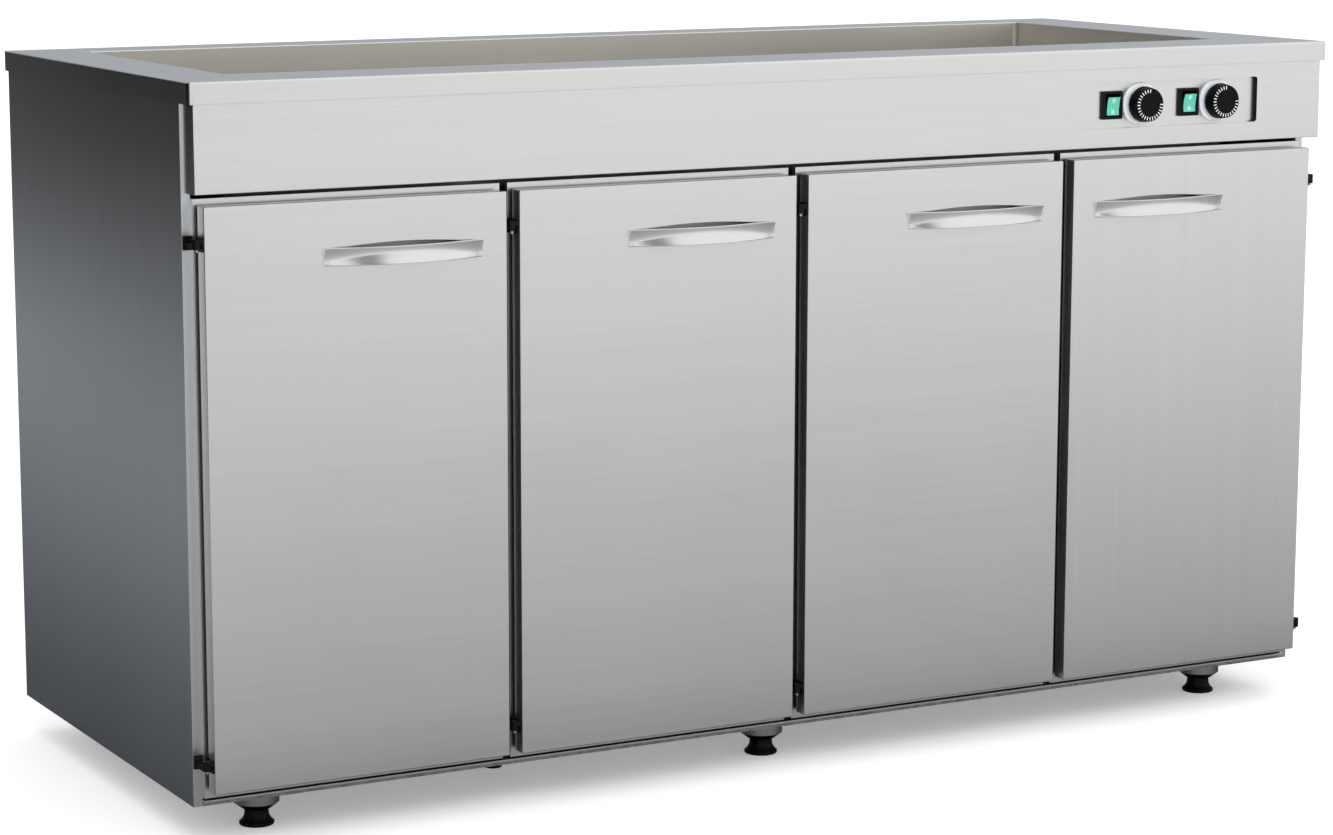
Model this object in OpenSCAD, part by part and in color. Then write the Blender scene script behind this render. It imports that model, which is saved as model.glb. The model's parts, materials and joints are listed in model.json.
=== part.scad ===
// Bain marie counter: a heated wet well in a steel worktop, over four hinged cupboards.
// X runs along the counter, Y from front to back and Z up. The floor is Z = 0 and the origin
// is the middle of the bounding box on the floor. Inside the modules Y is measured from the
// front edge of the worktop, which in_place() puts where it belongs.

/* [Counter] */
// Width of the worktop
counter_w = 1600; // [1500:10:1800]
// Depth of the worktop
counter_d = 650; // [640:5:720]
// Height of the worktop above the floor, with the feet wound in
counter_h = 890; // [870:5:930]
// Thickness of the outer sheets
sheet_t = 1.2; // [1:0.1:1.8]
// Thickness of the inner sheets, such as the cupboards and the back panel
inner_t = 0.8; // [0.7:0.1:1.2]

/* [Worktop] */
// Thickness of the worktop's sheet
top_t = 1.5; // [1.2:0.1:2]
// Height of the folded edge all round
lip_h = 25; // [20:1:35]
// Thickness of the folded edge
lip_t = 2; // [1.5:0.1:2.4]
// Radius of the upright corners
corner_r = 6; // [4:0.5:10]
// Radius of the bend from the top to the edge
edge_r = 2.5; // [1.5:0.1:3.5]
// From the left edge to the well
well_left = 88; // [80:1:120]
// From the right edge to the well
well_right = 99; // [80:1:120]
// From the front edge to the well
well_front = 111.5; // [110:0.5:130]
// From the rear edge to the well
well_rear = 71; // [71:1:90]
// Radius of the upright corners of the well
well_corner_r = 8; // [4:1:20]

/* [Well] */
// Depth of the well below the worktop
well_depth = 200; // [180:5:205]
// Thickness of the well's sheet
well_t = 1.2; // [1:0.1:1.5]
// Width of the flange that hangs the well under the worktop
well_flange = 12; // [8:1:14]
// Thickness of the lagging round the well
lagging_t = 16; // [15:0.5:18]
// Thickness of the lagging under the heating elements
lagging_floor_t = 14; // [10:1:16]
// Diameter of the tube of a heating element
element_d = 8.5; // [6.5:0.5:10]
// Straight passes of each heating element
element_passes = 4; // [2:2:6]
// Spacing of the passes
element_pitch = 90; // [70:5:110]

/* [Body] */
// How far the side panels stand in from the worktop's ends
side_inset = 4; // [3:0.5:8]
// From the worktop's front edge to the side panels' front flanges
flange_y = 40; // [36:1:44]
// Width of the side panels' front flanges
flange_w = 11; // [9:0.5:14]
// Outside radius of the side panels' bends
bend_r = 3; // [2:0.5:4]
// How far the body stops short of the worktop's rear edge
rear_inset = 3; // [2.6:0.2:10]
// From the body's rear edge to the back panel
back_inset = 27; // [20:1:28]
// Height of the base frame's underside above the floor
body_z = 48; // [44:1:60]
// Height of the base frame's rails
frame_h = 6.8; // [5:0.2:9]
// Thickness of the base frame's rails
frame_t = 2; // [1.5:0.5:3]
// Width of the base frame's rails
frame_w = 70; // [64:1:90]
// Thickness of the base tray
tray_t = 1.2; // [1:0.1:2]
// Height of the base tray's folded front edge
tray_lip = 2.5; // [2:0.1:4]

/* [Apron] */
// From the top of the worktop to the apron's bottom edge
apron_drop = 126.4; // [120:0.2:135]
// How far the apron stands behind the worktop's front edge
apron_set = 4; // [3:0.5:6]
// How far the apron's ends stand in from the worktop's ends
apron_inset = 7; // [7:0.5:12]
// Depth of the apron's folded bottom and top edges
apron_fold = 15; // [10:1:18]

/* [Cupboards] */
// Gap between neighbouring cupboards
bay_gap = 10; // [8:0.5:12]
// From the worktop's front edge to the front of the cupboards
bay_y = 33; // [31:0.5:35]
// From the back of the cupboards to the back panel
bay_back_gap = 20; // [10:1:40]
// Gap between the apron and the top of the cupboards
band_h = 6.9; // [5:0.1:10]
// Height of the rail over each cupboard's opening
bay_rail_h = 100.7; // [98:0.1:106]
// Width of the rim round each cupboard's opening
rim_w = 12; // [10:0.5:15]
// Height of the dark joint between the base tray and the rim
toe_gap = 2.5; // [1.5:0.5:4]

/* [Doors] */
// From the worktop's front edge to the doors' front
door_set = 6.5; // [5:0.5:9]
// Thickness of a door
door_t = 20; // [18:0.5:21]
// How far each side of a door stands in from its cupboard
door_side = 3.5; // [3:0.1:5]
// From the top of a cupboard's rim to the door's top edge
door_top_gap = 7.3; // [5:0.1:12]
// From the top of the base tray to the door's bottom edge
door_foot_gap = 12.5; // [8:0.5:20]
// How far the seal stands in from the door's edge
seal_inset = 2; // [1:0.5:4]
// Width of the seal
seal_w = 9; // [6:0.5:10]

/* [Handles] */
// Width of the handle between its ends
handle_w = 200; // [160:5:240]
// Height of the handle's strip
handle_h = 20.7; // [18:0.1:26]
// From the door's free edge to the handle
handle_edge = 33; // [28:1:60]
// From the top of the door to the top of the handle
handle_drop = 54.2; // [45:0.2:80]
// How far the strip's lower edge bows out
handle_bow = 20; // [18:0.5:24]
// How far the strip's upper edge bows out
handle_bow_top = 13; // [11:0.5:16]
// Thickness of the strip
handle_t = 1.6; // [1.2:0.1:2]
// Width of the strip's flat foot at each end
handle_foot = 4; // [3:0.5:8]
// Width of the finger recess in the door
recess_w = 148; // [120:1:156]
// How far the finger recess arches above the strip's ends
arch_rise = 3.8; // [2:0.1:8]

/* [Hinges] */
// From a door's hinge edge to its pin
hinge_reach = 7; // [6.5:0.1:7.5]
// Depth of the pin behind the door's front
hinge_depth = 7; // [6.5:0.1:8]
// Radius of a hinge knuckle
knuckle_r = 5; // [4.5:0.1:5.2]
// Height of one knuckle
knuckle_h = 7; // [6:0.5:9]
// Radius of a hinge pin
pin_r = 2.5; // [2:0.1:3]
// How far a pin sticks out below its hinge
pin_tail = 4; // [2:0.5:6]
// From a door's top edge to the middle of its upper hinge
hinge_drop = 41.9; // [35:0.1:60]
// From a door's bottom edge to the middle of its lower hinge
hinge_rise = 34.5; // [30:0.5:60]
// Thickness of a hinge leaf
leaf_t = 2; // [1.6:0.1:2.2]

/* [Controls] */
// From the worktop's right end to the middle of the right dial
dial_from_end = 172; // [165:1:190]
// Spacing of the two sets of controls
control_pitch = 121; // [115:1:130]
// From the middle of a dial to the middle of its switch
switch_offset = 46; // [44:0.5:48]
// Depth of the dials' axis below the top of the worktop
control_drop = 72.5; // [71:0.5:75]
// Height of the recess round the controls
recess_h = 59; // [58:1:62]
// From the recess's left end to the first switch
recess_left = 59; // [50:1:66]
// From the last dial to the recess's right end
recess_right = 62; // [52:1:70]
// Depth of the recess
recess_d = 6.4; // [5:0.1:8]
// Radius of the recess's corners
recess_r = 4; // [2:0.5:8]
// Depth of the box behind the controls
control_box_d = 70; // [55:1:74]
// Diameter of a dial's white bezel
bezel_d = 55; // [52:0.5:56]
// Thickness of a bezel
bezel_t = 2.4; // [1.5:0.1:3]
// Diameter of a knob
knob_d = 46; // [40:0.5:48]
// Diameter of a knob's face
knob_face_d = 41; // [36:0.5:42]
// Height of a knob above its bezel
knob_h = 19; // [14:0.5:20]
// Radius of a thermostat's spindle
spindle_r = 3; // [2.5:0.1:3.5]
// Width of a switch's frame
switch_w = 31.4; // [28:0.2:34]
// Height of a switch's frame
switch_h = 36; // [32:0.5:40]
// How far a switch's frame stands out
switch_proud = 4.4; // [3:0.1:6]
// Width of a rocker
rocker_w = 20.6; // [18:0.2:22]
// Height of a rocker
rocker_h = 25.3; // [22:0.1:27]
// Travel of a rocker, in degrees
rocker_swing = 14; // [10:1:16]

/* [Drain] */
// From the left side of the second cupboard to the drain
drain_in = 40; // [30:1:80]
// From the front edge of the worktop to the drain
drain_y = 165; // [150:1:200]
// Outside diameter of the drain pipe
pipe_d = 32; // [28:0.5:34]
// Outside diameter of the spigot at the pipe's open end
spigot_d = 26; // [20:0.5:27]
// Length of the spigot
spigot_l = 30; // [20:1:32]
// Wall of the drain pipe
pipe_t = 3; // [2:0.5:4]
// Height of the valve's middle above the base tray
valve_rise = 420; // [300:10:480]
// Length of the valve's lever
lever_l = 90; // [70:5:100]
// Height of the pipe's open end above the floor
pipe_end_z = 10; // [8:1:20]

/* [Feet] */
// From the worktop's ends to the middle of the outer feet
foot_side = 106; // [95:1:120]
// From the worktop's front edge to the front feet
foot_front = 100; // [85:1:110]
// From the worktop's rear edge to the rear feet
foot_rear = 100; // [85:1:110]
// Diameter of a foot's steel cup
cup_d = 55; // [50:1:60]
// Diameter of the pad on the floor
pad_d = 42; // [36:1:48]
// Height of the pad
pad_h = 20; // [18:0.5:22]
// Radius of a foot's threaded stud
stud_r = 5; // [4:0.5:6]

/* [Supply] */
// Diameter of the supply cable that the gland takes
cable_d = 10; // [8:0.5:13]
// From the right end of the worktop to the gland
gland_side = 120; // [100:5:200]
// Depth of the gland below the top of the worktop
gland_drop = 95; // [80:5:120]

/* [Fits] */
// Running clearance of a pin, spindle or stud in its hole, on the radius
run_fit = 0.05; // [0.02:0.01:0.1]
// Gap between pieces of different bodies
gap = 0.3; // [0.2:0.05:0.5]

/* [Hidden] */
$fn = 48;
over = 1;
bays = 4;

// The handles stand furthest forward, so they set where the middle of the box lies
handle_front = door_set - handle_bow;
front_y = -(counter_d + handle_front) / 2;

top_under = counter_h - top_t;
apron_z = counter_h - apron_drop;
apron_back = apron_set + sheet_t;
side_x = counter_w / 2 - side_inset;
body_rear = counter_d - rear_inset;
back_y = body_rear - back_inset;
rear_fold = 15;

tray_z = body_z + frame_h;
tray_top = tray_z + tray_t;
bay_top = apron_z - band_h;
bay_ceiling = bay_top - bay_rail_h;
bay_span = side_x - flange_w;
bay_w = (2 * bay_span - (bays - 1) * bay_gap) / bays;
bay_rear = back_y - bay_back_gap;
rim_z = tray_top + toe_gap;

door_w = bay_w - 2 * door_side;
door_z = tray_top + door_foot_gap;
door_h = bay_top - door_top_gap - door_z;
door_rear = door_set + door_t;
seal_rear = bay_y - gap;
handle_z = door_z + door_h - handle_drop - handle_h;
handle_steps = 24;

pin_y = door_set + hinge_depth;
hinge_zs = [door_z + hinge_rise, door_z + door_h - hinge_drop];
leaf_h = 24;
bracket_t = 3;
bracket_front = 13;
bracket_back = 27;
bracket_margin = 1;
arm_x = 3;
arm_back = 4;

well_x0 = -counter_w / 2 + well_left;
well_x1 = counter_w / 2 - well_right;
well_y0 = well_front;
well_y1 = counter_d - well_rear;
well_floor = counter_h - well_depth;
casing_off = well_t + lagging_t;
element_z = well_floor - well_t - element_d / 2;
lagging_top = element_z - element_d / 2;
casing_z = lagging_top - lagging_floor_t - inner_t;
drain_x = bay_x(1) + drain_in;
drain_hole_r = pipe_d / 2 + 0.5;
drain_clear_r = drain_hole_r + 8;
element_side = 110;
element_clear = 105;
element_shift = 20;
valve_z = tray_top + valve_rise;
valve_body_r = 20;
valve_body_h = 46;
valve_stem_y = drain_y - valve_body_r - 8;
stem_r = 4;
lever_t = 4;

dial_x = counter_w / 2 - dial_from_end;
control_z = counter_h - control_drop;
dial_xs = [dial_x - control_pitch, dial_x];
switch_xs = [dial_x - control_pitch - switch_offset, dial_x - switch_offset];
recess_x0 = switch_xs[0] - recess_left;
recess_x1 = dial_x + recess_right;
plate_y = apron_set + recess_d;
plate_rear = plate_y + sheet_t;
recess_flange = 8;
bezel_y = plate_y - bezel_t;
knob_y = bezel_y - gap;
rocker_axis_y = plate_y + 3;
rocker_gap = 1.4;
rocker_pin_r = 1.5;
rocker_stub = 2;
switch_back_t = 4;
switch_body_d = 22;
switch_rim = 2;
spindle_gap = 2;
thermostat_w = 34;
thermostat_h = 30;
thermostat_d = 24;
box_rear = plate_rear + control_box_d;

foot_xs = [-counter_w / 2 + foot_side, 0, counter_w / 2 - foot_side];
foot_ys = [foot_front, counter_d - foot_rear];
cup_t = 1.5;
cup_z = pad_h + 8;
cup_top = tray_z - frame_t;
plug_z = pad_h + gap;
stud_top = body_z + 4;
plug_in = 8;
gland_x = counter_w / 2 - gland_side;
gland_z = counter_h - gland_drop;
gland_r = cable_d / 2 + 5;

steel = [0.78, 0.78, 0.77];
dark_steel = [0.5, 0.51, 0.52];
black = [0.05, 0.05, 0.05];
white = [0.93, 0.95, 0.97];
green = [0.35, 0.75, 0.62];
brass = [0.78, 0.62, 0.3];
wool = [0.85, 0.78, 0.55];

// Puts what is drawn from the worktop's front edge into the counter's own frame
module in_place() {
  translate([0, front_y, 0]) children();
}

// A box from one corner to the opposite one
module block(a, b) {
  translate(a) cube(b - a);
}

// A flat rectangle between two corners, with all four corners rounded
module round_rect(a, b, r) {
  translate([a[0] + r, a[1]]) square([b[0] - a[0] - 2 * r, b[1] - a[1]]);
  translate([a[0], a[1] + r]) square([b[0] - a[0], b[1] - a[1] - 2 * r]);
  for (x = [a[0] + r, b[0] - r], y = [a[1] + r, b[1] - r]) translate([x, y]) circle(r);
}

// An upright prism on a rounded rectangle, grown by off on every side
module prism(a, b, r, z0, z1, off = 0) {
  translate([0, 0, z0]) linear_extrude(z1 - z0) round_rect(a - [off, off], b + [off, off], r + off);
}

// A square cut-out round the drain
module drain_cut(half, z0, z1) {
  block([drain_x - half, drain_y - half, z0], [drain_x + half, drain_y + half, z1]);
}

// An outline drawn in X and Z, extruded from y0 back to y1
module slab(y0, y1) {
  translate([0, y1, 0]) rotate([90, 0, 0]) linear_extrude(y1 - y0) children();
}

// A rod along Y
module rod_y(x, z, r, y0, y1) {
  translate([x, y0, z]) rotate([-90, 0, 0]) cylinder(h = y1 - y0, r = r);
}

well_a = [well_x0, well_y0];
well_b = [well_x1, well_y1];

// Worktop: a folded tray of sheet with the well's opening cut in it
module worktop_block(in) {
  top = in > 0 ? top_under : counter_h;
  half = counter_w / 2 - in;
  r = max(edge_r - in, 0.5);
  intersection() {
    prism([-half, in], [half, counter_d - in], max(corner_r - in, 1), counter_h - lip_h - in, top);
    slab(in - over, counter_d + over) round_rect([-half, 0], [half, top], r);
    translate([-half - over, 0, 0]) rotate([90, 0, 90]) linear_extrude(2 * (half + over))
      round_rect([in, 0], [counter_d - in, top], r);
  }
}

module worktop() {
  color(steel) in_place() difference() {
    worktop_block(0);
    worktop_block(lip_t);
    prism(well_a, well_b, well_corner_r, top_under - over, counter_h + over);
  }
}

// Well: a welded tank that hangs by its flange under the worktop
module well() {
  color(steel) in_place() difference() {
    union() {
      prism(well_a, well_b, well_corner_r, well_floor - well_t, top_under, well_t);
      prism(well_a, well_b, well_corner_r, top_under - well_t, top_under, well_flange);
    }
    prism(well_a, well_b, well_corner_r, well_floor, top_under + over);
    translate([drain_x, drain_y, well_floor - well_t - over])
      cylinder(h = well_t + 2 * over, r = drain_hole_r);
  }
}

// Lagging: mineral wool round the well's walls and a slab under the heating elements
module well_lagging() {
  side_gap = 0.2;
  color(wool) in_place() difference() {
    prism(well_a, well_b, well_corner_r, casing_z + inner_t, top_under - well_t - side_gap,
      casing_off - side_gap);
    prism(well_a, well_b, well_corner_r, lagging_top, top_under, well_t + side_gap);
    drain_cut(drain_clear_r, casing_z, lagging_top + over);
  }
}

// Casing: the outer tray that holds the lagging
module well_casing() {
  wall_z = casing_z + inner_t + gap;
  color(dark_steel) in_place() {
    difference() {
      prism(well_a, well_b, well_corner_r, wall_z, top_under, casing_off + inner_t);
      prism(well_a, well_b, well_corner_r, wall_z - over, top_under + over, casing_off);
    }
    difference() {
      prism(well_a, well_b, well_corner_r, casing_z, casing_z + inner_t, casing_off + inner_t);
      drain_cut(drain_clear_r, casing_z - over, casing_z + inner_t + over);
    }
  }
}

// One heating element: straight passes joined by bends, flat under the well's floor
module heating_element(x0, x1) {
  r = element_d / 2;
  bend = element_pitch / 2;
  y0 = (well_y0 + well_y1) / 2 + element_shift - (element_passes - 1) * bend;
  for (k = [0:element_passes - 1]) translate([x0, y0 + k * element_pitch, element_z]) rotate([0, 90, 0])
    cylinder(h = x1 - x0, r = r);
  for (k = [0:element_passes - 2])
    translate([k % 2 == 0 ? x1 : x0, y0 + (k + 0.5) * element_pitch, element_z])
      rotate([0, 0, k % 2 == 0 ? -90 : 90]) rotate_extrude(angle = 180) translate([bend, 0]) circle(r);
}

module heating_elements() {
  color(dark_steel) in_place() {
    heating_element(well_x0 + element_side, drain_x - element_clear);
    heating_element(drain_x + element_clear, well_x1 - element_side);
  }
}

// Drain outlet: the flanged waste in the well's floor and the pipe down to the valve
module drain_outlet() {
  r = pipe_d / 2;
  z0 = valve_z + valve_body_h / 2;
  lip = 2;
  lip_r = r + 12;
  nut_h = 5;
  nut_r = r + 6;
  color(steel) in_place() translate([drain_x, drain_y, 0]) difference() {
    union() {
      translate([0, 0, z0]) cylinder(h = well_floor - z0, r = r);
      translate([0, 0, well_floor]) cylinder(h = lip, r = lip_r);
      translate([0, 0, well_floor - well_t - nut_h]) cylinder(h = nut_h, r = nut_r);
    }
    translate([0, 0, z0 - over]) cylinder(h = well_floor - z0 + lip + 2 * over, r = r - pipe_t);
  }
}

// Drain valve: a ball valve with its stem towards the front
module drain_valve() {
  z0 = valve_z - valve_body_h / 2;
  hex_h = 12;
  hex_r = valve_body_r - 1;
  color(brass) in_place() difference() {
    union() {
      translate([drain_x, drain_y, valve_z]) sphere(valve_body_r);
      for (z = [z0, z0 + valve_body_h - hex_h]) translate([drain_x, drain_y, z])
        cylinder(h = hex_h, r = hex_r, $fn = 6);
      rod_y(drain_x, valve_z, 2 * stem_r, valve_stem_y + lever_t, drain_y);
      rod_y(drain_x, valve_z, stem_r, valve_stem_y - lever_t, drain_y);
    }
    translate([drain_x, drain_y, z0 - over]) cylinder(h = valve_body_h + 2 * over, r = pipe_d / 2 - pipe_t);
  }
}

// Valve lever: a flat handle on the stem, with a turned end
module valve_lever() {
  y1 = valve_stem_y + lever_t - gap;
  y0 = y1 - lever_t;
  hub_r = stem_r + 5;
  half_w = 6;
  tip_r = 8;
  color(black) in_place() difference() {
    union() {
      rod_y(drain_x, valve_z, hub_r, y0, y1);
      block([drain_x, y0, valve_z - half_w], [drain_x + lever_l - tip_r, y1, valve_z + half_w]);
      rod_y(drain_x + lever_l - tip_r, valve_z, tip_r, y0, y1);
    }
    rod_y(drain_x, valve_z, stem_r + run_fit, y0 - over, y1 + over);
  }
}

// Drain pipe: from the valve through the cupboard's floor to a spigot under the counter
module drain_pipe() {
  r = pipe_d / 2;
  tip_r = spigot_d / 2;
  z1 = valve_z - valve_body_h / 2;
  chamfer = 4;
  z2 = pipe_end_z + chamfer + spigot_l;
  color(black) in_place() translate([drain_x, drain_y, 0]) rotate_extrude() polygon([
    [tip_r - pipe_t, pipe_end_z], [tip_r - chamfer / 2, pipe_end_z], [tip_r, pipe_end_z + chamfer],
    [tip_r, z2], [r, z2], [r, z1], [r - pipe_t, z1], [r - pipe_t, z2 + pipe_t],
    [tip_r - pipe_t, z2 + pipe_t]]);
}

// Apron: the front panel under the worktop, folded back at its ends, top and bottom
module apron() {
  half = counter_w / 2 - apron_inset;
  inner = half - sheet_t;
  rear = flange_y + over;
  color(steel) in_place() difference() {
    block([-half, apron_set, apron_z], [half, flange_y, top_under]);
    block([-inner, apron_back, apron_z + sheet_t], [inner, rear, top_under - sheet_t]);
    block([-inner, apron_set + apron_fold, apron_z - over], [inner, rear, top_under + over]);
    slab(apron_set - over, apron_back + over) round_rect([recess_x0, control_z - recess_h / 2],
      [recess_x1, control_z + recess_h / 2], recess_r);
  }
}

// A switch's outline, drawn in by rim on every side
module switch_outline(x, rim) {
  half = [switch_w / 2 - rim, switch_h / 2 - rim];
  round_rect([x, control_z] - half, [x, control_z] + half, 1);
}

// Control plate: a shallow tray behind the apron's cut-out
module control_plate() {
  a = [recess_x0, control_z - recess_h / 2];
  b = [recess_x1, control_z + recess_h / 2];
  t = [sheet_t, sheet_t];
  f = [recess_flange, recess_flange];
  color(steel) in_place() difference() {
    union() {
      slab(apron_back, plate_rear) round_rect(a - t, b + t, recess_r + sheet_t);
      slab(apron_back, apron_back + sheet_t) round_rect(a - f, b + f, recess_r);
    }
    slab(apron_back - over, plate_y) round_rect(a, b, recess_r);
    for (x = dial_xs) rod_y(x, control_z, spindle_r + spindle_gap, plate_y - over, plate_rear + over);
    for (x = switch_xs) slab(plate_y - over, plate_rear + over) switch_outline(x, switch_rim);
  }
}

// Control box: the enclosure behind the control plate
module control_box() {
  a = [recess_x0 - recess_flange, control_z - recess_h / 2 - recess_flange];
  b = [recess_x1 + recess_flange, control_z + recess_h / 2 + recess_flange];
  y0 = apron_back + sheet_t;
  t = [inner_t, inner_t];
  wire_hole_in = 25;
  wire_hole_r = 8;
  color(dark_steel) in_place() difference() {
    slab(y0, box_rear) round_rect(a, b, recess_r);
    slab(y0 - over, box_rear - inner_t) round_rect(a + t, b - t, recess_r - inner_t);
    rod_y(b[0] - wire_hole_in, control_z, wire_hole_r, box_rear - inner_t - over, box_rear + over);
  }
}

// Dial bezels: white discs on the plate, with a chamfered edge
module dial_bezels() {
  hole_r = spindle_r + spindle_gap;
  edge_h = 0.6 * bezel_t;
  edge_w = 1.4;
  color(white) in_place() for (x = dial_xs) translate([x, plate_y, control_z]) rotate([90, 0, 0])
    rotate_extrude() polygon([[hole_r, 0], [bezel_d / 2, 0], [bezel_d / 2, edge_h],
      [bezel_d / 2 - edge_w, bezel_t], [hole_r, bezel_t]]);
}

// Knob: a tapered cap with a finger ridge round its skirt, on its spindle
module knob(x) {
  base_r = knob_d / 2 - 2.5;
  skirt = 5;
  ridge = 3;
  face_edge = 0.9;
  in_y = plate_rear + 0.6 * thermostat_d;
  color(black) in_place() {
    translate([x, knob_y, control_z]) rotate([90, 0, 0]) rotate_extrude() polygon([[0, 0], [base_r, 0],
      [knob_d / 2, skirt], [knob_d / 2, skirt + ridge], [knob_face_d / 2 + face_edge, knob_h - face_edge],
      [knob_face_d / 2, knob_h], [0, knob_h]]);
    rod_y(x, control_z, spindle_r, knob_y - over, in_y);
  }
}

module knob_1() { knob(dial_xs[0]); }
module knob_2() { knob(dial_xs[1]); }

// Thermostats: two regulators behind the plate, each with a bore for its spindle
module thermostats() {
  rear = plate_rear + thermostat_d;
  boss_r = 11;
  boss_h = 4;
  tag_x = 9;
  tag = [6, 9, 2];
  color(white) in_place() for (x = dial_xs) difference() {
    union() {
      block([x - thermostat_w / 2, plate_rear, control_z - thermostat_h / 2],
        [x + thermostat_w / 2, rear, control_z + thermostat_h / 2]);
      rod_y(x, control_z, boss_r, plate_rear, rear + boss_h);
      for (s = [-1, 1]) block([x + s * tag_x - tag[0] / 2, rear - over, control_z - tag[2] / 2],
        [x + s * tag_x + tag[0] / 2, rear + tag[1], control_z + tag[2] / 2]);
    }
    rod_y(x, control_z, spindle_r + run_fit, plate_rear - over, plate_rear + 0.7 * thermostat_d);
  }
}

// Switch cases: a frame in front of the plate and a body behind it, open for the rocker
module switch_cases() {
  half_w = rocker_w / 2 + gap;
  half_h = rocker_h / 2 + rocker_gap;
  front = plate_y - switch_proud;
  rear = plate_rear + switch_body_d;
  color(black) in_place() for (x = switch_xs) difference() {
    union() {
      slab(front, plate_y) switch_outline(x, 0);
      slab(plate_y - over, rear) switch_outline(x, switch_rim);
    }
    block([x - half_w, front - over, control_z - half_h],
      [x + half_w, rear - switch_back_t, control_z + half_h]);
    translate([x - half_w - rocker_stub, rocker_axis_y, control_z]) rotate([0, 90, 0])
      cylinder(h = 2 * (half_w + rocker_stub), r = rocker_pin_r + run_fit);
  }
}

// Rocker: a lens with two pressed ends, tipped to the off side, on its two stub pins
module rocker(x) {
  h = rocker_h / 2;
  end_proud = 1.6;
  dish = 1.2;
  root = 5;
  crown = rocker_axis_y - plate_y + switch_proud + end_proud;
  color(green) in_place() translate([x, rocker_axis_y, control_z]) rotate([rocker_swing / 2, 0, 0]) {
    translate([-rocker_w / 2, 0, 0]) rotate([90, 0, 90]) linear_extrude(rocker_w) polygon([
      [-crown, -h], [dish - crown, -0.5 * h], [dish - crown, 0.5 * h], [-crown, h],
      [1, 0.75 * h], [root, 0.3 * h], [root, -0.3 * h], [1, -0.75 * h]]);
    translate([-rocker_w / 2 - rocker_stub, 0, 0]) rotate([0, 90, 0])
      cylinder(h = rocker_w + 2 * rocker_stub, r = rocker_pin_r);
  }
}

module rocker_1() { rocker(switch_xs[0]); }
module rocker_2() { rocker(switch_xs[1]); }

// Terminal block: six ways on the control box's rear wall
module terminal_block() {
  ways = 6;
  pitch = 10;
  depth = 16;
  half_h = 11;
  screw_r = 2.6;
  screw_depth = 10;
  x0 = dial_xs[0] - control_pitch / 4;
  y1 = box_rear - inner_t;
  y0 = y1 - depth;
  color(white) in_place() difference() {
    block([x0, y0, control_z - half_h], [x0 + ways * pitch, y1, control_z + half_h]);
    for (k = [0:ways - 1], s = [-0.5, 0.5])
      rod_y(x0 + (k + 0.5) * pitch, control_z + s * half_h, screw_r, y0 - over, y0 + screw_depth);
  }
}

// Cable gland: a threaded gland with its nut, through the back panel
module cable_gland() {
  y0 = back_y - 8;
  y1 = back_y + inner_t;
  bore_r = cable_d / 2;
  hex_r = bore_r + 8;
  nut_h = 5;
  hex_h = 9;
  dome_h = 10;
  color(black) in_place() difference() {
    union() {
      rod_y(gland_x, gland_z, gland_r, y0, y1);
      for (p = [[back_y - nut_h, nut_h], [y1, hex_h]]) translate([gland_x, p[0], gland_z]) rotate([-90, 0, 0])
        cylinder(h = p[1], r = hex_r, $fn = 6);
      translate([gland_x, y1 + hex_h, gland_z]) rotate([-90, 0, 0])
        cylinder(h = dome_h, r1 = hex_r - 1.5, r2 = bore_r + 3);
    }
    rod_y(gland_x, gland_z, bore_r, y0 - over, y1 + hex_h + dome_h + over);
  }
}

// Side panel: one sheet folded in at the front and the rear, with a hem under the worktop. It
// is drawn as the left one, inwards from its outer face, and turned over for the right.
module side_panel(s) {
  cut = 2 * rear_fold;
  weld = 0.2;
  color(steel) in_place() mirror([s > 0 ? 1 : 0, 0, 0]) translate([-side_x, 0, 0]) {
    difference() {
      prism([0, flange_y], [cut, body_rear], bend_r, body_z, top_under);
      prism([sheet_t, flange_y + sheet_t], [2 * cut, body_rear - sheet_t], bend_r - sheet_t,
        body_z - over, top_under + over);
      block([flange_w, flange_y - over, body_z - over], [cut + over, flange_y + cut, top_under + over]);
      block([rear_fold, body_rear - cut, body_z - over], [cut + over, body_rear + over, top_under + over]);
    }
    block([sheet_t - weld, flange_y + cut, top_under - sheet_t],
      [sheet_t + rear_fold, back_y - cut, top_under]);
  }
}

module side_panel_left() { side_panel(-1); }
module side_panel_right() { side_panel(1); }

// Back panel: set in between the side panels, folded back at its ends, with two sets of vents
module back_panel() {
  half = side_x - sheet_t;
  vents = 8;
  vent_pitch = 14;
  vent_drop = 40;
  vent_half = [60, 2.5];
  color(steel) in_place() difference() {
    block([-half, back_y, tray_top], [half, back_y + rear_fold, top_under]);
    block([-half + inner_t, back_y + inner_t, tray_top - over],
      [half - inner_t, back_y + rear_fold + over, top_under + over]);
    rod_y(gland_x, gland_z, gland_r, back_y - over, back_y + inner_t + over);
    for (c = [-0.5, 0.5], k = [0:vents - 1]) translate([c * side_x, 0, apron_z - vent_drop - k * vent_pitch])
      slab(back_y - over, back_y + inner_t + over) round_rect(-vent_half, vent_half, vent_half[1] - 0.1);
  }
}

// Base frame: channels round the edge and across under the middle feet, open downwards
module frame_outline(in) {
  half = frame_w / 2 - in;
  difference() {
    translate([-bay_span + in, flange_y + in])
      square([2 * (bay_span - in), body_rear - sheet_t - flange_y - 2 * in]);
    for (k = [0, 1]) translate([foot_xs[k] + half, foot_ys[0] + half])
      square([foot_xs[k + 1] - foot_xs[k] - 2 * half, foot_ys[1] - foot_ys[0] - 2 * half]);
  }
}

module base_frame() {
  color(dark_steel) in_place() difference() {
    translate([0, 0, body_z]) linear_extrude(frame_h) frame_outline(0);
    translate([0, 0, body_z - over]) linear_extrude(frame_h - frame_t + over) frame_outline(frame_t);
  }
}

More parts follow.
